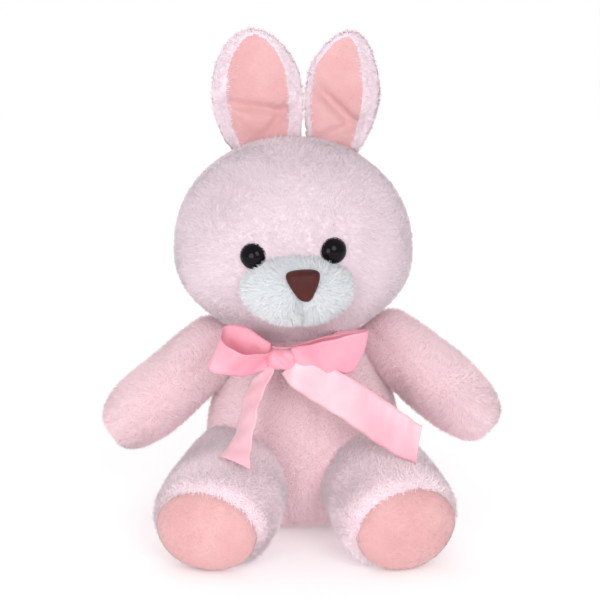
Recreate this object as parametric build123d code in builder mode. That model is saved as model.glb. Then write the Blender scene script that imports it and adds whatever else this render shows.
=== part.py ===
from build123d import *
import os
from math import cos, radians, sin

# Seated plush bunny: fur covers, filling, plastic eyes and nose, satin ribbon. Millimetres, +Z up.
# The origin is the middle of the seat on the floor. The toy faces -Y. Left is -X, the viewer's left.
# Soft limbs turn about balls sunk in sockets, so every joint keeps its clearance through its travel.

os.makedirs("parts", exist_ok=True)

SIDES = ("left", "right")
FORWARDS = (0, -1, 0)

# Cloth
SKIN = 3.0  # fur pile and backing together
FIT = 0.2  # gap between a cover and its filling
CLEAR = 0.8  # gap between pieces that move against each other
SATIN = 1.0  # ribbon with its folds

# Torso
SEAM_TURN = 10.0  # the body is sewn on slightly turned, so its front seam is off centre
TORSO_RINGS = [  # height, half width, half depth, sideways shift
    (0, 33, 28, 0),
    (3, 40, 34, 0),
    (12, 45.5, 38.5, 0),
    (30, 47.5, 40.5, 0),
    (48, 47, 39.5, 0),
    (64, 43.5, 36, -0.5),
    (77, 38, 31, -1.5),
    (87, 30.5, 26, -2.5),
    (93, 22, 20, -3.5),
]

# Neck
NECK = (-4, -4, 84)
NECK_RADIUS = 23.0
BAND_GAP = 0.4
BAND_THICKNESS = 1.0
BAND_ANGLES = (28, 52)  # from straight up
POCKET_RADIUS = NECK_RADIUS + 2 * BAND_GAP + BAND_THICKNESS

# Head
HEAD = (-5.5, -8, 143)
HEAD_HALF = (57, 47.5, 49.5)
MUZZLE = (-4, -53, 129.5)
MUZZLE_HALF = (28, 14.5, 17)

# Eyes and nose
EYE_AT = {"left": (-25, 147), "right": (15, 148)}  # across and up
EYE_RADIUS = 6.0
EYE_DOME = 4.5
NOSE_AT = (-1, 134.5)
NOSE_HALF_WIDTH = 10.0
NOSE_HEIGHT = 16.5
NOSE_THICKNESS = 5.0
NOSE_CORNER = 2.5
NOSE_EDGE = 1.8
SEAT = 0.4  # how far a plastic piece stands off the round cover under it
SHANK_RADIUS = 1.75
SHANK_LENGTH = 11.0
NOSE_SHANK_LENGTH = 9.5
NOSE_WASHER_RADIUS = 5.0
NOSE_WASHER_DEPTH = 8.6  # from the nose's seat to the far side of its washer
WASHER_RADIUS = 6.5
WASHER_THICKNESS = 1.2

# Ears: outline points as across and up, from the outer base round to the inner base
EAR_OUTLINES = {
    "left": [
        (-36, 190),
        (-44.5, 202),
        (-45.5, 217),
        (-40, 236),
        (-27, 248.5),
        (-13, 243),
        (-4, 228),
        (-2.5, 210),
        (-6, 197.5),
    ],
    "right": [
        (27, 190),
        (34, 203),
        (36, 218),
        (32, 236),
        (21.5, 247),
        (9, 241),
        (1.5, 228),
        (0, 210),
        (1, 197),
    ],
}
EAR_Y = 3.0
EAR_HALF_THICKNESS = 4.0
EAR_RIM = 7.0
LINING_THICKNESS = 2.0

# Arms: pivot, direction of the arm, then rings of distance, half width, half height
ARM_PIVOTS = {"left": (-44, -5, 87), "right": (41, -5, 91)}
ARM_DIRECTIONS = {"left": (-0.76, -0.16, -0.63), "right": (0.76, -0.16, -0.63)}
ARM_BALL = 14.5
ARM_RINGS = [
    (0, 11, 11),
    (14, 15, 15),
    (28, 16.5, 16.5),
    (42, 16.5, 16.5),
    (54, 15, 15),
    (62, 11.5, 11.5),
    (66, 5, 5),
]

# Legs: the pivot is the hip, and the rings run forwards from it
LEG_PIVOTS = {"left": (-31, -13, 26), "right": (31, -11, 26)}
LEG_TURNS = {"left": 10.0, "right": 12.0}  # outwards from straight ahead
LEG_BALL = 23.0
LEG_RINGS = [  # distance, half width, half height, drop below the pivot
    (0, 19, 19, 0),
    (18, 25, 24.5, 1),
    (36, 27, 24.5, 1.5),
    (54, 28, 24, 2),
    (68, 27, 22.5, 3),
    (77, 23, 19, 4),
    (82, 16, 13, 4.5),
    (84, 8, 6, 4.5),
]
SOLE_DEPTH = 12.0  # how much of the leg's front end the sole covers
LEG_SPREAD = (0, 7, 14, 20)  # angles at which the leg's room is cut from the torso
PANEL_GAP = 0.1

# Rabbit tail
TAIL = (0, 44, 30)
TAIL_RADIUS = 14.0

# Ribbon
RIBBON_WIDTH = 20.0
KNOT = (-11, -52, 95)
KNOT_SIZE = (14, 11, 14)
KNOT_ROUND = 3.5
KNOT_GAP = 2.5  # from the knot to where each loop starts
COLLAR_RADIUS = 25.2
COLLAR_LEVELS = (93.2, 95.4)
LOOP_CURVES = {  # across and forwards from the knot's edge, once round the loop
    "left": [(0, 1), (-12, 5), (-24, 6), (-28, 2), (-22, -1), (-10, -1)],
    "right": [(0, 1), (14, 5), (32, 6.5), (38, 2), (28, -1.5), (12, -1)],
}
LOOP_TILTS = {"left": 10.0, "right": -4.0}
LOOP_STEPS = 32
STRIP_ENDS = {  # the two hanging ends of the ribbon, from the knot down
    "left": [(-17, -47, 82.5), (-32, -77, 47.5)],
    "right": [(1.5, -46, 77), (54, -72, 57)],
}
STRIP_WIDTHS = {"left": 9.0, "right": 17.0}
STRIP_CROSSWISE = {"left": (1, 0, -0.2), "right": (0.4, 0, 0.9)}


def ellipsoid(centre, half_sizes):
    """A round cushion."""
    with BuildPart() as shape:
        Sphere(1)
        scale(by=half_sizes)
    return shape.part.moved(Location(centre))


def ball(centre, radius):
    with BuildPart() as shape:
        with Locations(centre):
            Sphere(radius)
    return shape.part


def disc(point, direction, radius, near, far):
    """A cylinder along the direction, from one distance to another."""
    with BuildPart() as shape:
        with BuildSketch(Plane(origin=point, z_dir=direction).offset(near)):
            Circle(radius)
        extrude(amount=far - near)
    return shape.part


def torso_shape(inset):
    """The pear-shaped body with its neck dome, made smaller all round by the inset."""
    with BuildPart() as shape:
        for height, half_width, half_depth, shift in TORSO_RINGS:
            level = inset if height == 0 else height * (1 - inset / TORSO_RINGS[-1][0])
            with BuildSketch(Plane.XY.offset(level)):
                with Locations((shift, 0)):
                    Ellipse(half_width - inset, half_depth - inset)
        loft()
        with Locations(NECK):
            Sphere(NECK_RADIUS - inset)
    return shape.part


def limb_shape(pivot, direction, rings, ball_radius, inset):
    """A stuffed limb: a ball at the pivot and a loft of rings along the direction."""
    plane = Plane(origin=pivot, x_dir=Vector(0, 0, 1).cross(Vector(*direction)), z_dir=direction)
    length = rings[-1][0]
    with BuildPart() as shape:
        for distance, half_width, half_height, *drop in rings:
            with BuildSketch(plane.offset(distance * (1 - inset / length))):
                with Locations((0, -sum(drop))):
                    Ellipse(half_width - inset, half_height - inset)
        loft()
        with Locations(pivot):
            Sphere(ball_radius - inset)
    return shape.part


def leg_direction(side, extra_turn=0.0):
    outward = -1 if side == "left" else 1
    turn = radians(LEG_TURNS[side] + extra_turn)
    return (outward * sin(turn), -cos(turn), 0)


def arm_shape(side, inset):
    return limb_shape(ARM_PIVOTS[side], ARM_DIRECTIONS[side], ARM_RINGS, ARM_BALL, inset)


def leg_shape(side, inset, extra_turn=0.0):
    return limb_shape(LEG_PIVOTS[side], leg_direction(side, extra_turn), LEG_RINGS, LEG_BALL, inset)


def panel(outside, inside, cuts, halves):
    """One cover panel: the outside less the inside and the cuts, kept on the top side of each plane."""
    with BuildPart() as shape:
        add(outside)
        add(inside, mode=Mode.SUBTRACT)
        for cut in cuts:
            add(cut, mode=Mode.SUBTRACT)
        for half in halves:
            split(bisect_by=half.offset(PANEL_GAP / 2), keep=Keep.TOP)
    return shape.part


def save(part, name):
    part.label = name
    export_step(part, f"parts/{name}.step")


# Shapes that several pieces share
torso_outside = torso_shape(0)
torso_inside = torso_shape(SKIN)
torso_core = torso_shape(SKIN + FIT)
head_outside = ellipsoid(HEAD, HEAD_HALF)
head_inside = ellipsoid(HEAD, tuple(half - SKIN for half in HEAD_HALF))
head_core = ellipsoid(HEAD, tuple(half - SKIN - FIT for half in HEAD_HALF))
head_room = ellipsoid(HEAD, tuple(half + FIT for half in HEAD_HALF))
neck_pocket = ball(NECK, POCKET_RADIUS)


def cover_rooms():
    """Room in the torso covers for the arm balls, and for the legs all the way through their spread."""
    rooms = []
    for side in SIDES:
        rooms.append(ball(ARM_PIVOTS[side], ARM_BALL + CLEAR))
        for spread in LEG_SPREAD:
            rooms.append(leg_shape(side, -CLEAR, spread))
    return rooms


def filling_rooms():
    """The same room in the filling, made from round shapes a little larger."""
    clearance = CLEAR + FIT
    rooms = []
    for side in SIDES:
        rooms.append(ball(ARM_PIVOTS[side], ARM_BALL + clearance))
        rooms.append(ball(LEG_PIVOTS[side], LEG_BALL + clearance))
        for spread in (LEG_SPREAD[0], LEG_SPREAD[-1]):
            widest = max(ring[1] for ring in LEG_RINGS) + clearance
            rooms.append(disc(LEG_PIVOTS[side], leg_direction(side, spread), widest, 0, LEG_RINGS[-1][0]))
    return rooms


# Torso panels and filling
seam_plane = Plane.YZ.rotated((0, 0, SEAM_TURN))
side_plane = Plane.ZX.rotated((0, 0, SEAM_TURN))
torso_panels = {
    "torso_panel_front_left": (-seam_plane, -side_plane),
    "torso_panel_front_right": (seam_plane, -side_plane),
    "torso_panel_back_left": (-seam_plane, side_plane),
    "torso_panel_back_right": (seam_plane, side_plane),
}
torso_rooms = cover_rooms()
for name, halves in torso_panels.items():
    save(panel(torso_outside, torso_inside, torso_rooms, halves), name)

with BuildPart() as torso_stuffing:
    add(torso_core)
    for room in filling_rooms():
        add(room, mode=Mode.SUBTRACT)
save(torso_stuffing.part, "torso_stuffing")

# Neck seam band: the turned-in edges of both covers, between the torso's dome and the head's pocket
band_inner = NECK_RADIUS + BAND_GAP
band_outer = band_inner + BAND_THICKNESS
with BuildPart() as neck_seam_band:
    with BuildSketch(Plane(origin=NECK, x_dir=(1, 0, 0), z_dir=FORWARDS)):
        with BuildLine():
            outer = CenterArc((0, 0), band_outer, 90 - BAND_ANGLES[1], BAND_ANGLES[1] - BAND_ANGLES[0])
            inner = CenterArc((0, 0), band_inner, 90 - BAND_ANGLES[1], BAND_ANGLES[1] - BAND_ANGLES[0])
            Line(outer @ 0, inner @ 0)
            Line(outer @ 1, inner @ 1)
        make_face()
    revolve(axis=Axis(NECK, (0, 0, 1)))
save(neck_seam_band.part, "neck_seam_band")


# Eyes and nose: each is a dome with a shank that goes through the cover into a washer
def head_front(across, up):
    """How far forwards the head's surface lies."""
    rest = 1 - ((across - HEAD[0]) / HEAD_HALF[0]) ** 2 - ((up - HEAD[2]) / HEAD_HALF[2]) ** 2
    return HEAD[1] - HEAD_HALF[1] * rest**0.5


def head_normal(point):
    return Vector(*[(point[i] - HEAD[i]) / HEAD_HALF[i] ** 2 for i in range(3)]).normalized()


def button_eye(point, outward):
    """A half dome on the head's surface with its shank."""
    plane = Plane(origin=point, z_dir=outward)
    with BuildPart() as shape:
        Sphere(1)
        scale(by=(EYE_RADIUS, EYE_RADIUS, EYE_DOME))
        split(bisect_by=Plane.XY, keep=Keep.TOP)
        with BuildSketch(Plane.XY):
            Circle(SHANK_RADIUS)
        extrude(amount=-SHANK_LENGTH)
    return shape.part.moved(plane.location)


fixings = []  # room for shanks and washers inside the covers and filling
eye_rooms = []
eye_washer_far = -SEAT - SKIN - FIT
eye_washer_near = eye_washer_far - WASHER_THICKNESS
for side, (across, up) in EYE_AT.items():
    surface = (across, head_front(across, up), up)
    outward = head_normal(surface)
    point = Vector(*surface) + outward * SEAT
    with BuildPart() as eye_washer:
        add(disc(point, outward, WASHER_RADIUS, eye_washer_near, eye_washer_far))
        add(disc(point, outward, SHANK_RADIUS + FIT / 2, -SHANK_LENGTH, SEAT), mode=Mode.SUBTRACT)
    save(button_eye(point, outward), f"eye_{side}")
    save(eye_washer.part, f"eye_washer_{side}")
    eye_rooms.append(ball(point, EYE_RADIUS + CLEAR))
    fixings.append(disc(point, outward, SHANK_RADIUS + FIT, -SHANK_LENGTH - FIT, SEAT))
    fixings.append(disc(point, outward, WASHER_RADIUS + FIT, eye_washer_near - FIT, eye_washer_far + 2 * FIT))

# Head panels and filling
crown_plane = Plane(origin=HEAD, x_dir=(1, 0, 0), z_dir=FORWARDS)
head_panels = {"head_face_panel": crown_plane, "head_back_panel": -crown_plane}
for name, half in head_panels.items():
    shank_holes = fixings if name == "head_face_panel" else []
    save(panel(head_outside, head_inside, [neck_pocket, *shank_holes], [half]), name)

with BuildPart() as head_stuffing:
    add(head_core)
    add(ball(NECK, POCKET_RADIUS + FIT), mode=Mode.SUBTRACT)
    for room in fixings:
        add(room, mode=Mode.SUBTRACT)
save(head_stuffing.part, "head_stuffing")

# Muzzle, sewn over the front of the head
nose_front = MUZZLE[1] - MUZZLE_HALF[1]
nose_point = (NOSE_AT[0], nose_front - SEAT, NOSE_AT[1])
nose_plane = Plane(origin=nose_point, x_dir=(1, 0, 0), z_dir=FORWARDS)
nose_shank_room = disc(nose_point, FORWARDS, SHANK_RADIUS + FIT, -NOSE_SHANK_LENGTH - FIT, SEAT)
nose_washer_near = -NOSE_WASHER_DEPTH
nose_washer_far = nose_washer_near + WASHER_THICKNESS
nose_washer_room = disc(
    nose_point, FORWARDS, NOSE_WASHER_RADIUS + FIT, nose_washer_near - FIT, nose_washer_far + FIT
)

with BuildPart() as muzzle_cover:
    add(ellipsoid(MUZZLE, MUZZLE_HALF))
    add(ellipsoid(MUZZLE, tuple(half - SKIN for half in MUZZLE_HALF)), mode=Mode.SUBTRACT)
    add(head_room, mode=Mode.SUBTRACT)
    add(nose_shank_room, mode=Mode.SUBTRACT)
    for room in eye_rooms:
        add(room, mode=Mode.SUBTRACT)
save(muzzle_cover.part, "muzzle_cover")

with BuildPart() as muzzle_stuffing:
    add(ellipsoid(MUZZLE, tuple(half - SKIN - FIT for half in MUZZLE_HALF)))
    add(head_room, mode=Mode.SUBTRACT)
    add(nose_shank_room, mode=Mode.SUBTRACT)
    add(nose_washer_room, mode=Mode.SUBTRACT)
save(muzzle_stuffing.part, "muzzle_stuffing")

with BuildPart() as nose:
    with BuildSketch(nose_plane):
        with BuildLine():
            top = NOSE_HEIGHT / 2
            Polyline((-NOSE_HALF_WIDTH, top), (NOSE_HALF_WIDTH, top), (0, -top), close=True)
        make_face()
        fillet(vertices(), radius=NOSE_CORNER)
    extrude(amount=NOSE_THICKNESS)
    fillet(faces().sort_by(Axis.Y)[0].edges(), radius=NOSE_EDGE)
    with BuildSketch(nose_plane):
        Circle(SHANK_RADIUS)
    extrude(amount=-NOSE_SHANK_LENGTH)
save(nose.part, "nose")

with BuildPart() as nose_washer:
    add(disc(nose_point, FORWARDS, NOSE_WASHER_RADIUS, nose_washer_near, nose_washer_far))
    add(nose_shank_room, mode=Mode.SUBTRACT)
save(nose_washer.part, "nose_washer")


# Ears: a fur back with a raised rim, and the lining set into its front
def ear_outline(side, rim):
    """The ear's outline from the front, drawn in by the rim's width at its widest."""
    points = [Vector(*point) for point in EAR_OUTLINES[side]]
    middle = sum(points, Vector()) / len(points)
    half_width = (max(point.X for point in points) - min(point.X for point in points)) / 2
    shrink = 1 - rim / half_width
    inset = [middle + (point - middle) * shrink for point in points]
    with BuildSketch() as outline:
        with BuildLine():
            rim_curve = Spline(*inset)
            Line(rim_curve @ 0, rim_curve @ 1)
        make_face()
    return outline.sketch


ear_front = Plane.XZ.offset(EAR_HALF_THICKNESS - EAR_Y)
for side in SIDES:
    with BuildPart() as ear_back:
        with BuildSketch(ear_front):
            add(ear_outline(side, 0))
        extrude(amount=-2 * EAR_HALF_THICKNESS)
        with BuildSketch(ear_front):
            add(ear_outline(side, EAR_RIM - FIT))
        extrude(amount=-LINING_THICKNESS - FIT, mode=Mode.SUBTRACT)
    save(ear_back.part, f"ear_{side}_back")
    with BuildPart() as ear_lining:
        with BuildSketch(ear_front):
            add(ear_outline(side, EAR_RIM))
        extrude(amount=-LINING_THICKNESS)
    save(ear_lining.part, f"ear_{side}_lining")

# Arms: an upper and a lower panel, and the filling
for side in SIDES:
    outside = arm_shape(side, 0)
    inside = arm_shape(side, SKIN)
    lengthwise = Vector(*ARM_DIRECTIONS[side])
    upwards = lengthwise.cross(Vector(0, 1, 0))
    upwards = upwards if upwards.Z > 0 else -upwards
    seam = Plane(origin=ARM_PIVOTS[side], x_dir=lengthwise, z_dir=upwards)
    save(panel(outside, inside, [], [seam]), f"arm_{side}_upper_panel")
    save(panel(outside, inside, [], [-seam]), f"arm_{side}_lower_panel")
    save(arm_shape(side, SKIN + FIT), f"arm_{side}_stuffing")

# Legs: an upper and a lower panel, the sole on the front end, and the filling
for side in SIDES:
    outside = leg_shape(side, 0)
    inside = leg_shape(side, SKIN)
    forward = Vector(*leg_direction(side))
    hip = Vector(*LEG_PIVOTS[side])
    sole_seam = Plane(origin=hip + forward * (LEG_RINGS[-1][0] - SOLE_DEPTH), z_dir=forward)
    level_seam = Plane(origin=hip, z_dir=(0, 0, 1))
    save(panel(outside, inside, [], [-sole_seam, level_seam]), f"leg_{side}_upper_panel")
    save(panel(outside, inside, [], [-sole_seam, -level_seam]), f"leg_{side}_lower_panel")
    save(panel(outside, inside, [], [sole_seam]), f"leg_{side}_sole")
    save(leg_shape(side, SKIN + FIT), f"leg_{side}_stuffing")

# Rabbit tail, sewn on the back
torso_room = torso_shape(-FIT)
with BuildPart() as tail_cover:
    add(ball(TAIL, TAIL_RADIUS))
    add(ball(TAIL, TAIL_RADIUS - SKIN), mode=Mode.SUBTRACT)
    add(torso_room, mode=Mode.SUBTRACT)
save(tail_cover.part, "tail_cover")

with BuildPart() as tail_stuffing:
    add(ball(TAIL, TAIL_RADIUS - SKIN - FIT))
    add(torso_room, mode=Mode.SUBTRACT)
save(tail_stuffing.part, "tail_stuffing")


# Ribbon: one real length of satin, cut here where it bends
def loop_outline(side, inset):
    """The loop's outline seen from above, as short straight runs."""
    with BuildLine(mode=Mode.PRIVATE):
        loop = Spline(*[(across, -forward) for across, forward in LOOP_CURVES[side]], periodic=True)
    with BuildSketch() as outline:
        with BuildLine():
            Polyline(*[loop @ (step / LOOP_STEPS) for step in range(LOOP_STEPS)], close=True)
        make_face()
        if inset:
            offset(amount=-inset, kind=Kind.INTERSECTION)
    return outline.sketch


def ribbon_loop(side):
    """A flat band round a closed curve, standing on edge and tilted about the knot."""
    outward = -1 if side == "left" else 1
    with BuildPart() as shape:
        with BuildSketch():
            add(loop_outline(side, 0))
        extrude(amount=RIBBON_WIDTH)
        with BuildSketch():
            add(loop_outline(side, SATIN))
        extrude(amount=RIBBON_WIDTH, mode=Mode.SUBTRACT)
    edge = KNOT[0] + outward * (KNOT_SIZE[0] / 2 + KNOT_GAP)
    return shape.part.moved(Location((edge, KNOT[1], KNOT[2] - RIBBON_WIDTH / 2), (0, LOOP_TILTS[side], 0)))


def ribbon_strip(side):
    """A thin straight band from the knot to its cut end."""
    start, end = (Vector(*point) for point in STRIP_ENDS[side])
    along = end - start
    plane = Plane(origin=(start + end) / 2, x_dir=along, z_dir=along.cross(Vector(*STRIP_CROSSWISE[side])))
    with BuildPart() as shape:
        with BuildSketch(plane):
            Rectangle(along.length, STRIP_WIDTHS[side])
        extrude(amount=SATIN / 2, both=True)
    return shape.part


for side in SIDES:
    save(ribbon_loop(side), f"bow_loop_{side}")
    save(ribbon_strip(side), f"bow_tail_{side}")

with BuildPart() as bow_knot:
    with Locations(KNOT):
        Box(*KNOT_SIZE)
    fillet(bow_knot.edges(), radius=KNOT_ROUND)
save(bow_knot.part, "bow_knot")

with BuildPart() as ribbon_collar:
    with BuildSketch(Plane.XY.offset(COLLAR_LEVELS[0])):
        with Locations(NECK[:2]):
            Circle(COLLAR_RADIUS)
            Circle(COLLAR_RADIUS - SATIN, mode=Mode.SUBTRACT)
    extrude(amount=COLLAR_LEVELS[1] - COLLAR_LEVELS[0])
save(ribbon_collar.part, "ribbon_collar")
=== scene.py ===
import math

import bpy
import numpy as np
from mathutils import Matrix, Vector


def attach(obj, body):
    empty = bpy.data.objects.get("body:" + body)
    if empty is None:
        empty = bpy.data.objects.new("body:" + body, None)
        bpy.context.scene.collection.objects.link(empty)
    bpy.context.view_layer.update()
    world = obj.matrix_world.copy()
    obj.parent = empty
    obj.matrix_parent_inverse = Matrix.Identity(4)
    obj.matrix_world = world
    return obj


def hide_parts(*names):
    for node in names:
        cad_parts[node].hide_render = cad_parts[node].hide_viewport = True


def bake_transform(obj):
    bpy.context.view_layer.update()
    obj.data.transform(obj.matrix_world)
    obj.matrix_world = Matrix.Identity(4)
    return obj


# A seated plush bunny. It faces -Y, +Z is up, and left is -X.
# The tables and the named lengths are in millimetres, and MM turns them into metres.
MM = 0.001
SIDES = ("left", "right")
OUTWARD = {"left": -1, "right": 1}

# Torso rings: height, half width, half depth, shift backwards
TORSO_RINGS = [
    (0.6, 4, 4, 0),
    (0.8, 24, 21, 0),
    (2.6, 37, 32, 0),
    (10, 45, 38.5, 0),
    (28, 48, 41.5, 0),
    (46, 47.5, 41, 0),
    (60, 44.5, 38, -0.5),
    (74, 39, 33.5, -1.5),
    (86, 33, 28.5, -2.5),
    (95, 27, 24, -3.5),
    (103, 19, 17, -4),
    (107, 4, 4, -4),
]
TORSO_FLOOR = 0.6
TORSO_FUR_TOP = 100  # the head covers the torso above this
FUR_FLOOR = 4  # no strand of the torso or legs is rooted lower than this
SEAM_TURN = math.radians(10)

# Limb rings: distance along the limb, half size across it, half size square to that, drop
ARM_RINGS = [
    (-12, 3, 3, 0),
    (-10, 9, 9, 0),
    (-4, 14.5, 14, 0),
    (6, 16, 16, 0),
    (20, 16.6, 17, 0),
    (36, 17, 17, 0),
    (50, 16, 16, 0),
    (60, 13.5, 14, 0),
    (66, 9, 10, 0),
    (68, 3, 3, 0),
]
ARM_PIVOTS = {"left": (-44, -5, 87), "right": (41, -5, 91)}
ARM_DIRECTIONS = {"left": (-0.76, -0.16, -0.63), "right": (0.76, -0.16, -0.63)}
ARM_SEEDS = {"left": 12, "right": 13}
LEG_RINGS = [
    (-20, 4, 4, 0),
    (-17, 13, 13, 0),
    (-6, 21, 21, 0),
    (10, 24.5, 24, 0.6),
    (28, 26.5, 24.8, 1.2),
    (46, 28.3, 24.6, 1.6),
    (62, 28, 24.2, 2.2),
    (72, 27, 23.2, 2.8),
    (79, 24, 20.8, 3.4),
    (83.5, 18, 15, 3.8),
    (86, 9, 8, 4),
    (86.4, 3, 3, 4),
]
LEG_PIVOTS = {"left": (-31, -13, 26), "right": (31, -11, 26)}
LEG_TURNS = {"left": math.radians(10), "right": math.radians(12)}
LEG_FLOOR = 1.2
LEG_SEEDS = {"left": 15, "right": 16}
SOLE_SEAM = 76.5
SOLE_LEAN = 0.22
SOLE_TURN = 0.14

# Round pieces: centre and half sizes
HEAD = (-5.5, -8, 143)
HEAD_HALF = (57.5, 48, 50)
MUZZLE = (-3.5, -52.5, 129.5)
MUZZLE_HALF = (23.5, 14.5, 14.5)
MUZZLE_FUR_BACK = -45  # the head hides the muzzle behind this
TAIL = (0, 43, 30)
TAIL_HALF = (14, 12, 14)
KNOT = (-11, -56, 95.5)
KNOT_HALF = (6.4, 4.4, 4.8)

# Eyes: across and up. The shank is radius and height, and the rim is share of the eye's radius and height.
EYES = {"left": (-24, 145.5), "right": (13.6, 148)}
EYE_RADIUS = 6.2
EYE_SHANK = [(1.75, -9), (1.75, -1)]
EYE_RIM = [(1.02, -0.8), (1.08, 0.2), (1.03, 0.9)]
EYE_DOME_BASE = 0.7
EYE_DOME_HEIGHT = 4.6

# Nose: corners across and up, then layers as share of the outline and height
NOSE = (-1, -67.5, 135.5)
NOSE_CORNERS = [(-10.0, 6.1), (-1.9, -7.8), (4.6, -8.9), (10.2, 7.4)]
NOSE_LAYERS = [
    (0.6, -3),
    (0.9, -2.6),
    (1, -1.2),
    (1, 0.6),
    (0.97, 2.0),
    (0.86, 3.2),
    (0.62, 4.1),
    (0.3, 4.5),
]
NOSE_EDGE_STEPS = 48
NOSE_ROUNDING = 32  # steps of the edge on each side that the corners are rounded over

# Ear outlines: across and up, once round from the outer base
EAR_OUTLINES = {
    "left": [
        (-33, 183),
        (-40, 193),
        (-45.5, 210),
        (-43.5, 227),
        (-35.5, 240),
        (-25.5, 245),
        (-14, 240.5),
        (-4.5, 228),
        (-1, 212),
        (-1.5, 196),
        (-6, 185),
    ],
    "right": [
        (26, 184),
        (32, 195),
        (36.5, 213),
        (34.5, 230),
        (29, 240.5),
        (21.5, 244),
        (12.5, 239.5),
        (4, 228),
        (0.8, 212),
        (1, 196),
        (5, 186),
    ],
}
# Folds in each lining: across, up, turn in radians, depth and width
EAR_FOLDS = {
    "left": [
        (-24, 206, 0.15, 3.0, 2.6),
        (-17, 195, -0.9, 2.6, 3.0),
        (-27, 193, 0.8, 2.2, 2.4),
    ],
    "right": [
        (16, 206, 0.7, 2.6, 2.6),
        (10, 214, 0.9, 2.0, 2.8),
        (20, 196, -0.4, 2.8, 2.6),
    ],
}
EAR_Y = 3.0
EAR_THICKNESS = 4.6
EAR_FRONT_SHARE = 0.4
EAR_BACK_SHARE = 0.8
EAR_FOLD_LIMIT = 0.75  # the deepest fold, as a share of the thickness there
EAR_CUP = 3.0
EAR_FRONT_RINGS = 40
EAR_BACK_RINGS = 24
EAR_RIMS = {"left": (7.5, 7), "right": (8, 2.2)}  # fur beside the lining, on the outer and inner edge
EAR_TOP_RIM = 2.5
EAR_BASE_RIM = 0.5

# Ribbon runs: centre point, then the half width as a vector
RUNS = {
    "bow_loop_left": [
        (-16, -56, 95, 1, -1.5, 4.6),
        (-25, -61, 94, 1.5, -4.4, 6.4),
        (-34, -64, 95.5, 2, -4, 7),
        (-42.5, -60, 99, 3, 0, 7.8),
        (-40, -53.5, 102.5, 2.6, 1.4, 8.2),
        (-30, -51.5, 102, 1.5, 1.4, 8.2),
        (-16, -53, 97, 0, 0, 5.4),
    ],
    "bow_loop_right": [
        (-6, -55, 96, -0.5, -1, 5),
        (6, -60, 97, 0, -3, 8.5),
        (18, -61, 98.8, 1.5, -2, 10),
        (26.5, -58.5, 100, 3, 0, 10.2),
        (25, -54, 99.5, 3, 1, 10),
        (10, -51.5, 98, 1, 1, 7.5),
        (-5, -52, 96.5, 0, 0, 4.5),
    ],
    "bow_tail_right": [
        (-7, -54.5, 91.5, 4, -1, 4),
        (-1, -57, 88, 5.5, -1.5, 6),
        (9, -58.5, 83.5, 6.5, -1, 7.6),
        (25, -62, 74.5, 6.4, -1, 7.8),
        (41, -67.5, 64.5, 5.6, -1, 8.4),
        (48, -70, 60.5, 4, -1, 9),
        (54.5, -72, 57.5, 1.2, -1.5, 10.2),
    ],
    "bow_tail_left": [
        (-17, -54, 91, 3.6, -2, 2),
        (-20.5, -55.5, 85, 4, -7, 2),
        (-25, -57.5, 76, 3.9, -8.4, 1.5),
        (-27.5, -61, 65, 4, -8.6, 1.5),
        (-30, -67, 55.5, 4.5, -8.6, 0),
        (-33, -74.5, 49.8, 7.5, -6, -1),
    ],
}
TAIL_BODIES = {"bow_tail_left": "ribbon_left", "bow_tail_right": "ribbon_right"}
RIBBON_THICKNESS = 0.35
COLLAR = (-4, -4, 96.5)
COLLAR_HALF = (31, 28)
COLLAR_FLARE = 1.1
COLLAR_HALF_WIDTH = 8.2
COLLAR_STEPS = 24
# How the collar's front meets the knot: pulled forwards, shifted to the left, dipped and pinched narrower
COLLAR_PULL = 21
COLLAR_SHIFT = 5
COLLAR_DIP = 1.5
COLLAR_PINCH = 2.4

# Strands of fur. The scatters are shares of the combed direction, or radians.
FLOW_SCATTER = 0.6
TUFTING = 0.9
TILT_SCATTER = 0.16
TILT_LIMITS = (0.1, 1.45)
ROLL_SCATTER = 0.3
LENGTH_SPREAD = (0.65, 1.15)
ROOT_DEPTH = 0.25
TAPER = 0.55
SAG = 0.16
TIP_SAG = 0.2
TONE_SCALE = 70
TONE_MIX = 0.8
SKIN_NORMAL_SHARE = 0.9
STRAND_NORMAL_SHARE = 0.6

# Looks. Real pile scatters light inside it, and a faint glow stands in for that.
GLOW = 0.09
LEG_GLOW = 0.2  # the legs render darker than the rest, so they get more
FUR_SHEEN = {"Sheen_Weight": 0.35, "Sheen_Roughness": 0.5}
SATIN_SHINE = {"Sheen_Weight": 0.5, "Sheen_Roughness": 0.3, "Anisotropic": 0.5}

# Studio, in metres and watts. The world is brighter where the camera sees it than as a light.
FLOOR_SIZE = 2.4
FLOOR_PLACE = (0, -0.1, 0)
FLOOR_GLOW = 0.18
WORLD_LIGHT = 0.72
WORLD_SEEN = 1.0
LAMPS = [
    {"name": "back", "place": (-0.3, 1.4, 0.9), "watts": 6, "size": 1.0},
    {"name": "key", "place": (0.45, -1.3, 0.75), "watts": 7, "size": 0.8},
    {"name": "fill", "place": (-0.6, -1.3, 0.3), "watts": 6.5, "size": 0.8},
]
LAMP_TARGET = (0, 0, 0.1)
CAMERA_TARGET = (-0.002, 0, 0.1097)
CAMERA_DISTANCE = 1.1
CAMERA_RISE = math.radians(15)
CAMERA_LENS = 132

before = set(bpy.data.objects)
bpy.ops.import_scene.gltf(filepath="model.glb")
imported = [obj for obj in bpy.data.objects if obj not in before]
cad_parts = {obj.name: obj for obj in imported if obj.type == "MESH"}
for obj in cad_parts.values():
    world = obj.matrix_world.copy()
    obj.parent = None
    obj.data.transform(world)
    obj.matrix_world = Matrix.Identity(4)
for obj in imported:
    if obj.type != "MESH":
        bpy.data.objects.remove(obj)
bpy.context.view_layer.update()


# ---------------------------------------------------------------- meshes from tables
def linked(name, mesh):
    """A new object in the scene that shows the mesh."""
    obj = bpy.data.objects.new(name, mesh)
    bpy.context.scene.collection.objects.link(obj)
    return obj


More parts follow.
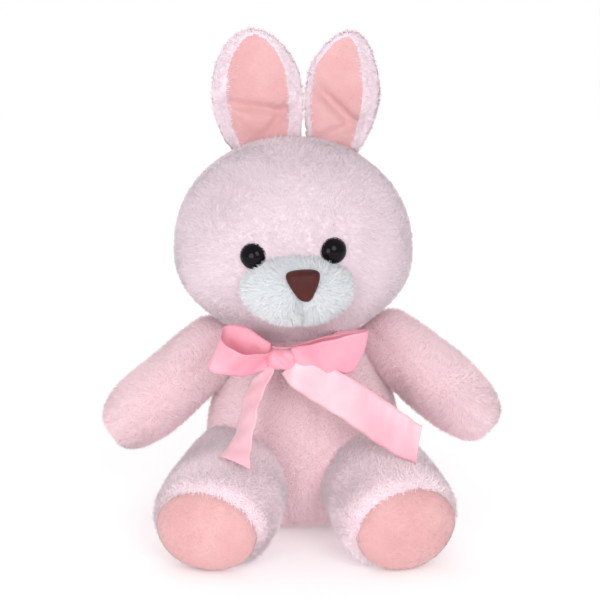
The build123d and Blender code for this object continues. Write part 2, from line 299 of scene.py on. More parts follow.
def unit(vectors):
    """Each vector brought to a length of 1."""
    return vectors / np.maximum(np.linalg.norm(vectors, axis=-1, keepdims=True), 1e-9)


def cubic(table, count):
    """The table's rows, joined by a smooth curve and read off at even steps."""
    rows = np.array(table, float)
    padded_rows = np.vstack([2 * rows[0] - rows[1], rows, 2 * rows[-1] - rows[-2]])
    place = np.linspace(0, len(rows) - 1, count)
    index = np.minimum(place.astype(int), len(rows) - 2)
    t = (place - index)[:, None]
    a, b, c, d = (padded_rows[index + i] for i in range(4))
    return 0.5 * (2 * b + (c - a) * t + (2 * a - 5 * b + 4 * c - d) * t**2 + (3 * b - a - 3 * c + d) * t**3)


def grid_mesh(name, grid):
    """A closed mesh from rings of points, with a fan at each end. Points are in millimetres."""
    rings, around = grid.shape[:2]
    verts = [tuple(p) for p in (grid.reshape(-1, 3) * MM)]
    ends = [grid[0].mean(0) * MM, grid[-1].mean(0) * MM]
    verts += [tuple(ends[0]), tuple(ends[1])]
    faces = []
    for r in range(rings - 1):
        for k in range(around):
            n = (k + 1) % around
            faces.append((r * around + k, r * around + n, (r + 1) * around + n, (r + 1) * around + k))
    low = len(verts) - 2
    high = len(verts) - 1
    for k in range(around):
        n = (k + 1) % around
        faces.append((low, n, k))
        faces.append((high, (rings - 1) * around + k, (rings - 1) * around + n))
    co = np.array(verts) - ends[0]
    inside_out = sum(np.dot(co[f[0]], np.cross(co[f[1]], co[f[-1]])) for f in faces) < 0
    if inside_out:
        faces = [tuple(reversed(face)) for face in faces]
    mesh = bpy.data.meshes.new(name)
    mesh.from_pydata(verts, [], faces)
    mesh.update()
    mesh.shade_smooth()
    return linked(name, mesh)


def lofted(name, table, origin, along, across, count, around):
    """A limb or body: rings of the table set out along a direction."""
    along = np.array(Vector(along).normalized())
    across = np.array(Vector(across).normalized())
    upward = np.cross(across, along)
    if upward[2] < 0:
        upward = -upward
    rows = cubic(table, count)
    angle = np.linspace(0, 2 * math.pi, around, endpoint=False)
    centre = np.array(origin) + rows[:, :1] * along - rows[:, 3:4] * upward
    half_across = np.maximum(rows[:, 1:2], 0.5)
    half_up = np.maximum(rows[:, 2:3], 0.5)
    grid = (centre[:, None] + (half_across * np.cos(angle))[..., None] * across
            + (half_up * np.sin(angle))[..., None] * upward)
    return grid_mesh(name, grid)


def rounded(name, centre, half_sizes, warp, count, around):
    """A cushion: a unit sphere, warped if it has a warp, and stretched to its half sizes."""
    up = -np.cos(np.linspace(0.05, math.pi - 0.05, count))
    angle = np.linspace(0, 2 * math.pi, around, endpoint=False)
    radius = np.sqrt(1 - up**2)
    sphere = np.stack([
        radius[:, None] * np.cos(angle),
        radius[:, None] * np.sin(angle),
        np.repeat(up[:, None], around, 1),
    ], -1)
    if warp:
        sphere = warp(sphere)
    return grid_mesh(name, np.array(centre) + sphere * np.array(half_sizes))


# ---------------------------------------------------------------- shaping
def read_vertices(obj, attribute):
    """One vector for each vertex of the object."""
    values = np.empty(len(obj.data.vertices) * 3)
    obj.data.vertices.foreach_get(attribute, values)
    return values.reshape(-1, 3)


def points_of(obj):
    return read_vertices(obj, "co")


def normals_of(obj):
    return read_vertices(obj, "normal")


def set_points(obj, co):
    obj.data.vertices.foreach_set("co", co.ravel())
    obj.data.update()


def smooth_noise(co, scale, seed):
    """A smooth bumpy value, from about -1 to 1, at each point: six waves added up."""
    mixer = np.random.default_rng(seed)
    total = np.zeros(len(co))
    for _ in range(6):
        direction = mixer.normal(size=3)
        direction *= scale / np.linalg.norm(direction) * mixer.uniform(0.6, 1.5)
        total += np.sin(co @ direction + mixer.uniform(0, 6.28))
    return total / 3.2


def puff(obj, amount, scale, seed):
    """Soft lumps of filling under the cloth."""
    co = points_of(obj)
    set_points(obj, co + normals_of(obj) * (amount * MM * smooth_noise(co, scale, seed))[:, None])


def plane_distance(origin, normal):
    """A function that gives each point's distance from a plane, in metres; origin in millimetres."""
    origin = np.array(origin) * MM
    normal = np.array(Vector(normal).normalized())
    return lambda co: (co - origin) @ normal


def crease(obj, distance, depth, width):
    """Draws the cloth in along a seam: distance gives how far each point lies from it, in metres."""
    co = points_of(obj)
    pull = depth * MM * np.exp(-((distance(co) / (width * MM)) ** 2))
    set_points(obj, co - normals_of(obj) * pull[:, None])


def flatten_below(obj, height):
    """Presses flat what would go lower than the height, as the toy's weight does."""
    co = points_of(obj)
    co[:, 2] = np.maximum(co[:, 2], height * MM)
    set_points(obj, co)


def split_off(obj, name, chosen):
    """Moves the faces whose centres are chosen into a new object. Both keep the whole skin's normals."""
    mesh = obj.data
    centres = np.empty(len(mesh.polygons) * 3)
    mesh.polygons.foreach_get("center", centres)
    mask = chosen(centres.reshape(-1, 3))
    parts = []
    for part_name, keep in ((name, mask), (obj.name, ~mask)):
        faces = [tuple(mesh.polygons[i].vertices) for i in np.nonzero(keep)[0]]
        used = sorted({v for face in faces for v in face})
        index = {v: i for i, v in enumerate(used)}
        corners = [[index[v] for v in face] for face in faces]
        part = bpy.data.meshes.new(part_name)
        part.from_pydata([tuple(mesh.vertices[v].co) for v in used], [], corners)
        part.update()
        part.shade_smooth()
        part.normals_split_custom_set_from_vertices([tuple(mesh.vertices[v].normal) for v in used])
        parts.append(part)
    obj.data = parts[1]
    return linked(name, parts[0])


# ---------------------------------------------------------------- fur
def swirl(co, seed):
    """A smooth direction field that makes the pile lie in tufts."""
    return np.stack([smooth_noise(co, 150, seed + 31 * axis) for axis in range(3)], 1)


def radiate(centre, fall):
    """A comb that flows away from a point, and a little downwards."""
    centre = np.array(centre) * MM

    def comb(co):
        away = unit(co - centre)
        away[:, 2] -= fall
        return away

    return comb


def above_floor(co):
    """True for points high enough off the floor to carry fur."""
    return co[:, 2] > FUR_FLOOR * MM


def scatter(skin, count, draw, keep):
    """Roots spread evenly over the skin where keep allows it, each with the skin's normal there."""
    mesh = skin.data
    mesh.calc_loop_triangles()
    corner = np.empty(len(mesh.loop_triangles) * 3, int)
    mesh.loop_triangles.foreach_get("vertices", corner)
    corner = corner.reshape(-1, 3)
    co = points_of(skin)
    a, b, c = (co[corner[:, i]] for i in range(3))
    area = np.linalg.norm(np.cross(b - a, c - a), axis=1)
    if keep is not None:
        area = area * keep((a + b + c) / 3)
    chosen = draw.choice(len(corner), count, p=area / area.sum())
    u, v = draw.random((2, count))
    flip = u + v > 1
    u[flip] = 1 - u[flip]
    v[flip] = 1 - v[flip]
    weights = np.stack([1 - u - v, u, v], 1)[..., None]
    root = (co[corner[chosen]] * weights).sum(1)
    normal = unit((normals_of(skin)[corner[chosen]] * weights).sum(1))
    return root, normal


def spike_faces(segments):
    """The triangles of one spike: its foot, its sides and its tip."""
    faces = [(0, 2, 1)]
    for ring in range(segments - 1):
        for k in range(3):
            p = ring * 3 + k
            q = ring * 3 + (k + 1) % 3
            faces += [(p, q, q + 3), (p, q + 3, p + 3)]
    last = (segments - 1) * 3
    tip = segments * 3
    faces += [(last + k, last + (k + 1) % 3, tip) for k in range(3)]
    return np.array(faces)


def strands(name, skin, count, length, width, comb, lean, materials, seed, segments=1, keep=None):
    """Fur as one mesh of tapered spikes rooted in the skin. Comb gives its flow, lean how flat it lies."""
    draw = np.random.default_rng(seed)
    root, normal = scatter(skin, count, draw, keep)
    flow = comb(root) + FLOW_SCATTER * draw.normal(size=(count, 3)) + TUFTING * swirl(root, seed)
    flow = unit(flow - (flow * normal).sum(1, keepdims=True) * normal)
    tilt = np.clip(lean + TILT_SCATTER * draw.normal(size=(count, 1)), *TILT_LIMITS)
    aim = normal * np.cos(tilt) + flow * np.sin(tilt)
    roll = ROLL_SCATTER * draw.normal(size=(count, 1))
    level = unit(np.cross(normal, aim))
    side = level * np.cos(roll) + np.cross(aim, level) * np.sin(roll)
    other = np.cross(aim, side)
    reach = length * MM * draw.uniform(*LENGTH_SPREAD, (count, 1))
    half = width * MM / 2
    base = root - normal * ROOT_DEPTH * MM

    points = []
    facing = []
    for ring in range(segments):
        along = ring / segments
        middle = base + aim * reach * along - normal * reach * SAG * along**2
        thick = half * (1 - TAPER * along)
        for turn in (math.pi / 6, 5 * math.pi / 6, 3 * math.pi / 2):
            spoke = math.cos(turn) * side + math.sin(turn) * other
            points.append(middle + thick * spoke)
            facing.append(spoke)
    points.append(base + aim * reach - normal * reach * TIP_SAG)
    facing.append(other)

    verts = np.stack(points, 1).reshape(-1, 3)
    shape = spike_faces(segments)
    faces = (np.arange(count)[:, None, None] * len(points) + shape).reshape(-1, 3)
    mesh = bpy.data.meshes.new(name)
    mesh.vertices.add(len(verts))
    mesh.vertices.foreach_set("co", verts.ravel())
    mesh.loops.add(faces.size)
    mesh.loops.foreach_set("vertex_index", faces.ravel())
    mesh.polygons.add(len(faces))
    mesh.polygons.foreach_set("loop_start", np.arange(0, faces.size, 3))
    tone = smooth_noise(root, TONE_SCALE, seed) * TONE_MIX + draw.normal(size=count) * TONE_MIX
    slot = np.digitize(tone, np.linspace(-1, 1, len(materials) - 1))
    mesh.polygons.foreach_set("material_index", np.repeat(slot, len(shape)))
    mesh.update()
    mesh.shade_smooth()
    soft = unit(SKIN_NORMAL_SHARE * normal[:, None] + STRAND_NORMAL_SHARE * np.stack(facing, 1))
    mesh.normals_split_custom_set_from_vertices(soft.reshape(-1, 3))
    for material in materials:
        mesh.materials.append(material)
    return linked(name, mesh)


# ---------------------------------------------------------------- materials
def principled(name, colour, roughness, **inputs):
    """A plain shader. Each further input is a socket's name, with _ for its spaces."""
    material = bpy.data.materials.new(name)
    material.use_nodes = True
    shader = material.node_tree.nodes["Principled BSDF"]
    shader.inputs["Base Color"].default_value = (*colour, 1)
    shader.inputs["Roughness"].default_value = roughness
    for socket, value in inputs.items():
        shader.inputs[socket.replace("_", " ")].default_value = value
    return material


def mottled(name, low, high, roughness, scale, bump, **inputs):
    """A surface whose colour wanders between two tones, with a fine bumpy grain."""
    material = principled(name, low, roughness, **inputs)
    nodes = material.node_tree.nodes
    links = material.node_tree.links
    shader = nodes["Principled BSDF"]
    place = nodes.new("ShaderNodeTexCoord")
    tone = nodes.new("ShaderNodeTexNoise")
    tone.inputs["Scale"].default_value = scale
    tone.inputs["Detail"].default_value = 6
    ramp = nodes.new("ShaderNodeValToRGB")
    for element, position, colour in zip(ramp.color_ramp.elements, (0.35, 0.65), (low, high)):
        element.position = position
        element.color = (*colour, 1)
    grain = nodes.new("ShaderNodeTexNoise")
    grain.inputs["Scale"].default_value = 1800
    height = nodes.new("ShaderNodeBump")
    height.inputs["Strength"].default_value = bump
    height.inputs["Distance"].default_value = 0.0004
    links.new(place.outputs["Object"], tone.inputs["Vector"])
    links.new(place.outputs["Object"], grain.inputs["Vector"])
    links.new(tone.outputs["Fac"], ramp.inputs["Fac"])
    links.new(ramp.outputs["Color"], shader.inputs["Base Color"])
    links.new(grain.outputs["Fac"], height.inputs["Height"])
    links.new(height.outputs["Normal"], shader.inputs["Normal"])
    return material


def fur_tone(name, colour, glow=GLOW):
    """One tone of pile, with its faint glow."""
    return principled(name, colour, 0.85, Emission_Color=(*colour, 1), Emission_Strength=glow, **FUR_SHEEN)


def backing(name, low, high):
    """The cloth that the pile grows from."""
    return mottled(name, low, high, roughness=0.9, scale=60, bump=0.3)


# On the satin the colour wanders between a deeper and a paler pink: the deeper pink is the ribbon's own, and
# the paler patches are painted sheen streaks.
def satin_cloth(name, low, high):
    return mottled(name, low, high, roughness=0.32, scale=25, bump=0.12, **SATIN_SHINE)


pink_fur = [
    fur_tone("fur_pink_deep", (0.88, 0.61, 0.66)),
    fur_tone("fur_pink_mid", (0.92, 0.67, 0.72)),
    fur_tone("fur_pink_pale", (0.95, 0.74, 0.78)),
]
# The legs' tones are paler copies of the pink pile, with more glow: painted light, as the legs render darker
# than the rest.
leg_fur = [
    fur_tone("fur_leg_deep", (0.91, 0.69, 0.75), LEG_GLOW),
    fur_tone("fur_leg_mid", (0.92, 0.73, 0.79), LEG_GLOW),
    fur_tone("fur_leg_pale", (0.93, 0.77, 0.82), LEG_GLOW),
]
# The head's and the ears' tones are greyer, lilac copies of the pink pile: painted cool light and shade on
# the same cloth.
face_fur = [
    fur_tone("fur_face_deep", (0.77, 0.62, 0.68)),
    fur_tone("fur_face_mid", (0.79, 0.65, 0.71)),
    fur_tone("fur_face_pale", (0.81, 0.69, 0.75)),
]
white_fur = [
    fur_tone("fur_white_shade", (0.66, 0.67, 0.71)),
    fur_tone("fur_white", (0.75, 0.77, 0.80)),
    fur_tone("fur_white_bright", (0.82, 0.84, 0.86)),
]
salmon_pile = [
    principled("pile_salmon_deep", (0.68, 0.36, 0.365), 0.85, **FUR_SHEEN),
    principled("pile_salmon", (0.73, 0.42, 0.425), 0.85, **FUR_SHEEN),
]
pink_backing = backing("backing_pink", (0.82, 0.54, 0.59), (0.87, 0.60, 0.65))
# The face backing is a greyer, lilac copy of the pink backing: painted cool light, like the head's fur.
face_backing = backing("backing_face", (0.79, 0.62, 0.68), (0.83, 0.68, 0.74))
white_backing = backing("backing_white", (0.74, 0.74, 0.77), (0.82, 0.83, 0.85))
velour = mottled("velour_salmon", (0.67, 0.34, 0.345), (0.74, 0.42, 0.425), 0.8, 45, 0.35, **FUR_SHEEN)
satin = satin_cloth("satin_pink", (0.80, 0.27, 0.37), (0.88, 0.44, 0.52))
# The tails get a paler copy of the same satin: painted light, for the light that comes through the thin
# ribbon.
tail_satin = satin_cloth("satin_pink_single_layer", (0.82, 0.40, 0.48), (0.90, 0.58, 0.64))
eye_black = principled("eye_gloss_black", (0.003, 0.002, 0.004), 0.04, Specular_IOR_Level=0.14)
eye_brown = principled("eye_rim_brown", (0.06, 0.03, 0.022), 0.3)
nose_brown = mottled("nose_brown", (0.060, 0.011, 0.010), (0.080, 0.017, 0.015), 0.5, 120, 0.05,
                     Specular_IOR_Level=0.2)


def dress(obj, material, body=None):
    """Gives a piece its material, unless it is fur with its own, and the body that it rides on."""
    if material:
        obj.data.materials.clear()
        obj.data.materials.append(material)
    if body:
        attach(obj, body)


# ---------------------------------------------------------------- torso and tail
def torso():
    """Four fur panels over one stuffed shape, with the seams drawn in."""
    skin = lofted("torso_panel_back_right_cloth", TORSO_RINGS, origin=(0, 0, 0), along=(0, 0, 1),
                  across=(1, 0, 0), count=64, around=96)
    puff(skin, amount=0.9, scale=75, seed=3)
    right_of_seam = plane_distance((0, 0, 0), (math.cos(SEAM_TURN), math.sin(SEAM_TURN), 0))
    in_front = plane_distance((0, 0, 0), (math.sin(SEAM_TURN), -math.cos(SEAM_TURN), 0))
    crease(skin, right_of_seam, depth=1.6, width=3.0)
    crease(skin, in_front, depth=0.8, width=3.0)
    flatten_below(skin, TORSO_FLOOR)
    front = split_off(skin, "torso_panel_front_right_cloth", lambda co: in_front(co) > 0)
    pieces = [
        split_off(front, "torso_panel_front_left_cloth", lambda co: right_of_seam(co) < 0),
        front,
        split_off(skin, "torso_panel_back_left_cloth", lambda co: right_of_seam(co) < 0),
        skin,
    ]

    def comb(co):
        """Backwards and down."""
        return np.array([0, 0.8, -0.6])

    def below_head(co):
        return above_floor(co) & (co[:, 2] < TORSO_FUR_TOP * MM)

    for seed, piece in enumerate(pieces, 40):
        node = piece.name.removesuffix("_cloth")
        fur = strands(node + "_fur", piece, count=20000, length=4.6, width=0.45, comb=comb, lean=0.95,
                      materials=pink_fur, seed=seed, keep=below_head)
        dress(piece, pink_backing, "torso")
        dress(fur, None, "torso")
        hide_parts(node)
    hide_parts("torso_stuffing", "neck_seam_band")


def tail():
    skin = rounded("tail_cloth", TAIL, TAIL_HALF, warp=None, count=32, around=48)
    fur = strands("tail_fur", skin, count=7000, length=6.0, width=0.5, comb=radiate((0, 30, 34), fall=0.2),
                  lean=0.8, materials=pink_fur, seed=99)
    dress(skin, pink_backing, "torso")
    dress(fur, None, "torso")
    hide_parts("tail_cover", "tail_stuffing")


# ---------------------------------------------------------------- head
def head_warp(sphere):
    """Fuller cheeks and a slightly narrower crown."""
    x, y, z = np.moveaxis(sphere, -1, 0)
    wide = 1 + 0.045 * np.exp(-(((z + 0.45) / 0.35) ** 2)) - 0.02 * np.exp(-(((z - 0.75) / 0.3) ** 2))
    return np.stack([x * wide, y * (1 + 0.02 * z), z], -1)


def head():
    """A face panel and a back panel that meet in a seam over the crown."""
    skin = rounded("head_back_panel_cloth", HEAD, HEAD_HALF, head_warp, count=64, around=96)
    puff(skin, amount=0.7, scale=60, seed=5)
    crown = plane_distance(HEAD, (0, -1, 0))
    crease(skin, crown, depth=1.1, width=2.6)
    face = split_off(skin, "head_face_panel_cloth", lambda co: crown(co) > 0)
    comb = radiate((NOSE[0], NOSE[1], NOSE[2] + 6), fall=0.35)
    for piece, count, seed in ((face, 46000, 51), (skin, 42000, 52)):
        node = piece.name.removesuffix("_cloth")
        fur = strands(node + "_fur", piece, count=count, length=3.7, width=0.4, comb=comb, lean=0.95,
                      materials=face_fur, seed=seed)
        dress(piece, face_backing, "head")
        dress(fur, None, "head")
        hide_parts(node)
    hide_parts("head_stuffing")


def muzzle_warp(sphere):
    """Two soft lobes with a groove under the nose."""
    x, y, z = np.moveaxis(sphere, -1, 0)
    groove = 0.55 * np.exp(-(((x - 0.12) / 0.11) ** 2)) * np.clip(0.45 - z, 0, 1) * (y < 0)
    lobes = 1 + 0.16 * np.exp(-(((np.abs(x - 0.1) - 0.45) / 0.25) ** 2)) * np.clip(0.4 - z, 0, 1)
    return np.stack([x, y * (lobes - groove), z], -1)


def muzzle():
    skin = rounded("muzzle_cloth", MUZZLE, MUZZLE_HALF, muzzle_warp, count=40, around=64)
    fur = strands("muzzle_fur", skin, count=19000, length=7.0, width=0.36, comb=radiate(NOSE, fall=0.35),
                  lean=0.7, materials=white_fur, seed=61, segments=2,
                  keep=lambda co: co[:, 1] < MUZZLE_FUR_BACK * MM)
    dress(skin, white_backing, "head")
    dress(fur, None, "head")
    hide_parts("muzzle_cover", "muzzle_stuffing")


def face_point(across, up):
    """The head's surface under an eye, and the way it faces."""
    rest = 1 - ((across - HEAD[0]) / HEAD_HALF[0]) ** 2 - ((up - HEAD[2]) / HEAD_HALF[2]) ** 2
    point = np.array([across, HEAD[1] - HEAD_HALF[1] * math.sqrt(rest), up])
    outward = (point - np.array(HEAD)) / np.array(HEAD_HALF) ** 2
    return point, outward / np.linalg.norm(outward)


def eye(side):
    """A glossy dome in a thin brown rim, with its shank."""
    point, outward = face_point(*EYES[side])
    turn = Vector(outward).to_track_quat("Z", "Y").to_matrix()
    lower = EYE_SHANK + [(EYE_RADIUS * share, height) for share, height in EYE_RIM]
    dome = [
        (EYE_RADIUS * math.cos(a), EYE_DOME_BASE + EYE_DOME_HEIGHT * math.sin(a))
        for a in np.linspace(0, 1.45, 12)
    ]
    angle = np.linspace(0, 2 * math.pi, 48, endpoint=False)
    rings = [[(r * math.cos(t), r * math.sin(t), h) for t in angle] for r, h in lower + dome]
    obj = grid_mesh(f"eye_{side}_button", point + np.array(rings) @ np.array(turn).T)
    dress(obj, eye_black, "head")
    obj.data.materials.append(eye_brown)
    for index in range(len(angle), len(lower) * len(angle)):
        obj.data.polygons[index].material_index = 1
    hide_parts(f"eye_{side}", f"eye_washer_{side}")


def nose():
    """A rounded triangle, domed in front."""
    corners = np.array(NOSE_CORNERS)
    share = np.linspace(0, 1, NOSE_EDGE_STEPS, endpoint=False)[:, None]
    edges = np.concatenate([p + (q - p) * share for p, q in zip(corners, np.roll(corners, -1, 0))])
    looped = np.concatenate([edges[-NOSE_ROUNDING:], edges, edges[:NOSE_ROUNDING]])
    blur = np.hanning(2 * NOSE_ROUNDING + 1)
    blur = blur / blur.sum()
    outline = np.stack([np.convolve(looped[:, i], blur, "valid") for i in range(2)], 1)
    rings = []
    for share, height in NOSE_LAYERS:
        depth = np.full(len(outline), NOSE[1] - height)
        rings.append(np.stack([NOSE[0] + outline[:, 0] * share, depth, NOSE[2] + outline[:, 1] * share], 1))
    obj = grid_mesh("nose_button", np.array(rings))
    dress(obj, nose_brown, "head")
    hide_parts("nose", "nose_washer")


# ---------------------------------------------------------------- ears
def fold_lining(ring, side):
    """How deep the soft folds in the front of an ear are at each point of a ring."""
    pull = np.zeros(len(ring))
    for across, up, turn, depth, width in EAR_FOLDS[side]:
        offset = (ring[:, 0] - across) * math.sin(turn) + (ring[:, 1] - up) * math.cos(turn)
        pull += depth * np.exp(-((offset / width) ** 2))
    return pull


def ear_grid(outline, side):
    """Rings from the middle of the ear's front out to its edge, and back in behind."""
    middle = outline.mean(0)
    front = np.linspace(0.03, 1, EAR_FRONT_RINGS)
    behind = np.linspace(0.995, 0.03, EAR_BACK_RINGS)
    grid = []
    for index, share in enumerate(np.concatenate([front, behind])):
        ring = middle + (outline - middle) * share
        thick = EAR_THICKNESS * math.sqrt(max(1 - share**4, 0.0))
        depth = np.full(len(ring), EAR_Y + EAR_CUP * (1 - share**2))
        if index < EAR_FRONT_RINGS:
            folds = fold_lining(ring, side) * (1 - share**3)
            depth += np.minimum(folds, EAR_FOLD_LIMIT * thick) - EAR_FRONT_SHARE * thick
        else:
            depth += EAR_BACK_SHARE * thick
        grid.append(np.stack([ring[:, 0], depth, ring[:, 1]], 1))
    return np.array(grid)


def ear_rim(outline, side):
    """How wide the fur rim beside the lining is at each point of the outline."""
    outer, inner = EAR_RIMS[side]
    middle = outline.mean(0)
    beside = (outline[:, 0] - middle[0]) * OUTWARD[side] / np.abs(outline[:, 0] - middle[0]).max()
    growth = np.where(beside > 0, outer - EAR_TOP_RIM, inner - EAR_TOP_RIM)
    rim = EAR_TOP_RIM + growth * np.abs(beside) ** 1.5
    rim[outline[:, 1] < outline[:, 1].min() + 4] = EAR_BASE_RIM
    return rim


def ear(side):
    """A cupped cushion: fur round the back and over the rim, lining in front."""
    outline = cubic(EAR_OUTLINES[side] + EAR_OUTLINES[side][:1], 121)[:-1]
    back = grid_mesh(f"ear_{side}_back_cloth", ear_grid(outline, side))
    puff(back, amount=0.4, scale=110, seed=9)
    rim = ear_rim(outline, side)

    def is_lining(co):
        """Faces of the front rings and of the front's middle fan, inside the fur rim."""
        index = np.arange(len(co))
        fans = (EAR_FRONT_RINGS + EAR_BACK_RINGS - 1) * len(outline)
        in_rings = index < (EAR_FRONT_RINGS - 1) * len(outline)
        in_fan = (index >= fans) & ((index - fans) % 2 == 0)
        offset = co[:, None, [0, 2]] / MM - outline[None]
        return (in_rings | in_fan) & (np.linalg.norm(offset, axis=2) > rim).all(1)

    lining = split_off(back, f"ear_{side}_lining_cloth", is_lining)
    middle = outline.mean(0)
    centre = np.array([middle[0], 0, middle[1]]) * MM
    upwards = np.array([0, 0, 1.0])

    def comb(co):
        """Upwards in front, but towards the middle behind, so that fewer shaded tips pass the edge."""
        behind = co[:, 1:2] > (EAR_Y + 0.3) * MM
        return np.where(behind, 2.5 * unit((centre - co) * (1, 0, 1)), upwards)

    fur = strands(f"ear_{side}_fur", back, count=18000, length=3.2, width=0.42, comb=comb, lean=1.15,
                  materials=face_fur, seed=71)
    pile = strands(f"ear_{side}_pile", lining, count=9000, length=1.1, width=0.35, comb=lambda co: upwards,
                   lean=1.0, materials=salmon_pile, seed=75)
    parts = [
        (back, face_backing, "pink_fur"),
        (fur, None, "pink_fur"),
        (lining, velour, "salmon_velour"),
        (pile, None, "salmon_velour"),
    ]
    for piece, material, slot in parts:
        dress(piece, material)
        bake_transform(piece)
    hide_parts(f"ear_{side}_back")
    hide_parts(f"ear_{side}_lining")


# ---------------------------------------------------------------- arms and legs
def arm(side):
    """An upper and a lower panel round one filling."""
    pivot = ARM_PIVOTS[side]
    along = np.array(Vector(ARM_DIRECTIONS[side]).normalized())
    across = np.cross(along, (0, 1, 0))
    skin = lofted(f"arm_{side}_lower_panel_cloth", ARM_RINGS, pivot, along, across, count=48, around=56)
    puff(skin, amount=0.9, scale=110, seed=ARM_SEEDS[side])
    above = plane_distance(pivot, across * np.sign(across[2]))
    crease(skin, above, depth=0.6, width=2.0)
    upper = split_off(skin, f"arm_{side}_upper_panel_cloth", lambda co: above(co) > 0)

    def comb(co):
        """Backwards, and a little towards the paw."""
        return 0.4 * along + (0, 1, 0)

    for seed, piece in enumerate((upper, skin), 81):
        node = piece.name.removesuffix("_cloth")
        fur = strands(node + "_fur", piece, count=18000, length=4.6, width=0.44, comb=comb, lean=0.95,
                      materials=pink_fur, seed=seed)
        for part, material in ((piece, pink_backing), (fur, None)):
            dress(part, material)
            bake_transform(part)
        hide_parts(node)
    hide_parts(f"arm_{side}_stuffing")


def leg(side):
    """An upper and a lower panel and a velour sole round one filling."""
    pivot = LEG_PIVOTS[side]
    turn = LEG_TURNS[side]
    along = np.array([OUTWARD[side] * math.sin(turn), -math.cos(turn), 0])
    skin = lofted(f"leg_{side}_lower_panel_cloth", LEG_RINGS, pivot, along, np.cross(along, (0, 0, 1)),
                  count=64, around=72)
    puff(skin, amount=1.0, scale=80, seed=LEG_SEEDS[side])
    sole_normal = along + np.array([OUTWARD[side] * SOLE_TURN, 0, -SOLE_LEAN])
    beyond = plane_distance(np.array(pivot) + along * SOLE_SEAM, sole_normal)
    above = plane_distance(pivot, (0, 0, 1))
    crease(skin, beyond, depth=1.6, width=2.6)
    flatten_below(skin, LEG_FLOOR)
    sole = split_off(skin, f"leg_{side}_sole_cloth", lambda co: beyond(co) > 0)
    upper = split_off(skin, f"leg_{side}_upper_panel_cloth", lambda co: above(co) > 0)
    parts = []
    for seed, piece in enumerate((upper, skin), 91):
        node = piece.name.removesuffix("_cloth")
        fur = strands(node + "_fur", piece, count=24000, length=4.8, width=0.42, comb=lambda co: 0.3 * along,
                      lean=0.9, materials=leg_fur, seed=seed, keep=above_floor)
        parts += [(piece, face_backing, "pink_fur"), (fur, None, "pink_fur")]
        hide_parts(node)
    pile = strands(f"leg_{side}_sole_pile", sole, count=9000, length=1.2, width=0.35,
                   comb=lambda co: np.array([0, 0, -1.0]), lean=0.9, materials=salmon_pile, seed=95)
    parts += [(sole, velour, "salmon_velour"), (pile, None, "salmon_velour")]
    for part, material, slot in parts:
        dress(part, material)
        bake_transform(part)
    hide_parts(f"leg_{side}_sole")
    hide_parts(f"leg_{side}_stuffing")


# ---------------------------------------------------------------- ribbon
def band(name, rows, length_steps, cup, ripple):
    """A ribbon with real thickness along the rows of centre point and half-width vector, and its length."""
    across = np.linspace(-1, 1, 13)
    path = cubic(rows, length_steps)
    centre = path[:, :3]
    half = path[:, 3:6]
    face = unit(np.cross(np.gradient(centre, axis=0), half))
    surface = centre[:, None] + half[:, None] * across[None, :, None]
    travel = np.concatenate([[0], np.cumsum(np.linalg.norm(np.diff(centre, axis=0), axis=1))])
    rise = cup * (1 - across[None, :] ** 2) + ripple * np.sin(travel[:, None] * 0.55 + 2.6 * across[None, :])
    surface = surface + face[:, None] * rise[..., None]
    skin_normal = unit(np.cross(np.gradient(surface, axis=0), np.gradient(surface, axis=1)))
    over = surface + skin_normal * RIBBON_THICKNESS / 2
    under = surface - skin_normal * RIBBON_THICKNESS / 2
    ring = np.concatenate([over, under[:, ::-1]], 1)
    steps, around = ring.shape[:2]
    faces = []
    for r in range(steps - 1):
        for k in range(around):
            n = (k + 1) % around
            faces.append((r * around + k, (r + 1) * around + k, (r + 1) * around + n, r * around + n))
    faces.append(tuple(range(around)))
    faces.append(tuple(reversed(range((steps - 1) * around, steps * around))))
    mesh = bpy.data.meshes.new(name)
    mesh.from_pydata((ring.reshape(-1, 3) * MM).tolist(), [], faces)
    mesh.update()
    mesh.shade_smooth()
    return linked(name, mesh), travel[-1] * MM


def loops_and_tails():
    for node, rows in RUNS.items():
        run, length = band(node + "_satin", rows, length_steps=60, cup=0.9, ripple=0.35)
        cloth = tail_satin if node in TAIL_BODIES else satin
        dress(run, cloth, TAIL_BODIES.get(node, "torso"))
        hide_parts(node)


def collar():
    """The ribbon round the neck, drawn out in front to meet the knot."""
    rows = []
    for t in np.linspace(0, 2 * math.pi, COLLAR_STEPS + 1)[:-1]:
        front = max(-math.sin(t), 0)
        near = front**3
        x = (COLLAR[0] - COLLAR_SHIFT * near) + COLLAR_HALF[0] * math.cos(t)
        y = COLLAR[1] + COLLAR_HALF[1] * math.sin(t) - COLLAR_PULL * near
        z = COLLAR[2] - COLLAR_DIP * front
        half_width = COLLAR_HALF_WIDTH - COLLAR_PINCH * near
        rows.append((x, y, z, COLLAR_FLARE * math.cos(t), COLLAR_FLARE * math.sin(t), half_width))
    obj, length = band("ribbon_collar_satin", rows + rows[:1], length_steps=120, cup=0.5, ripple=0.3)
    dress(obj, satin, "torso")
    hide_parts("ribbon_collar")


def knot_warp(sphere):
    """A gathered knot with a few upright folds."""
    x, y, z = np.moveaxis(sphere, -1, 0)
    folds = 1 + 0.12 * np.sin(6 * x + 5 * z) * (1 - z**2)
    square = 1 + 0.18 * (x * z) ** 2 / (x**2 * z**2 + 0.05)
    return np.stack([x * square, y * folds, z * square], -1)


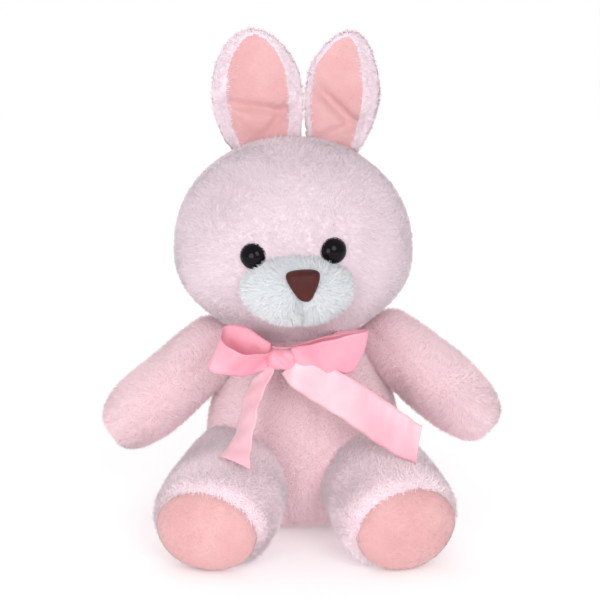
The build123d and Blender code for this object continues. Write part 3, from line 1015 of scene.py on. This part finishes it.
def knot():
    obj = rounded("bow_knot_satin", KNOT, KNOT_HALF, knot_warp, count=40, around=64)
    dress(obj, satin, "torso")
    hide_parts("bow_knot")


# ---------------------------------------------------------------- floor, light and camera
def floor():
    bpy.ops.mesh.primitive_plane_add(size=FLOOR_SIZE, location=FLOOR_PLACE)
    obj = bpy.context.object
    obj.name = "floor"
    obj.data.materials.append(principled("floor_white", (0.92, 0.92, 0.92), 0.9, Emission_Color=(1, 1, 1, 1),
                                         Emission_Strength=FLOOR_GLOW))


def studio_world():
    """An even white surround, as a light and as the ground behind the floor."""
    world = bpy.data.worlds.new("studio")
    bpy.context.scene.world = world
    world.use_nodes = True
    nodes = world.node_tree.nodes
    links = world.node_tree.links
    background = nodes["Background"]
    background.inputs["Color"].default_value = (1, 1, 1, 1)
    seen = nodes.new("ShaderNodeLightPath")
    strength = nodes.new("ShaderNodeMapRange")
    strength.inputs["To Min"].default_value = WORLD_LIGHT
    strength.inputs["To Max"].default_value = WORLD_SEEN
    links.new(seen.outputs["Is Camera Ray"], strength.inputs["Value"])
    links.new(strength.outputs["Result"], background.inputs["Strength"])


def lamp(name, place, watts, size):
    """A soft round lamp that faces the toy."""
    data = bpy.data.lights.new(name, "AREA")
    data.energy = watts
    data.size = size
    data.shape = "DISK"
    obj = linked(name, data)
    obj.location = place
    obj.rotation_euler = (Vector(LAMP_TARGET) - Vector(place)).to_track_quat("-Z", "Y").to_euler()


def camera():
    data = bpy.data.cameras.new("camera")
    data.lens = CAMERA_LENS
    data.clip_start = 0.05
    obj = linked("camera", data)
    target = Vector(CAMERA_TARGET)
    obj.location = target + CAMERA_DISTANCE * Vector((0, -math.cos(CAMERA_RISE), math.sin(CAMERA_RISE)))
    obj.rotation_euler = (target - obj.location).to_track_quat("-Z", "Y").to_euler()
    bpy.context.scene.camera = obj
    bpy.context.scene.view_settings.view_transform = "Standard"


torso()
head()
muzzle()
nose()
tail()
for side in SIDES:
    eye(side)
    ear(side)
    arm(side)
    leg(side)
loops_and_tails()
collar()
knot()
floor()
studio_world()
for settings in LAMPS:
    lamp(**settings)
camera()
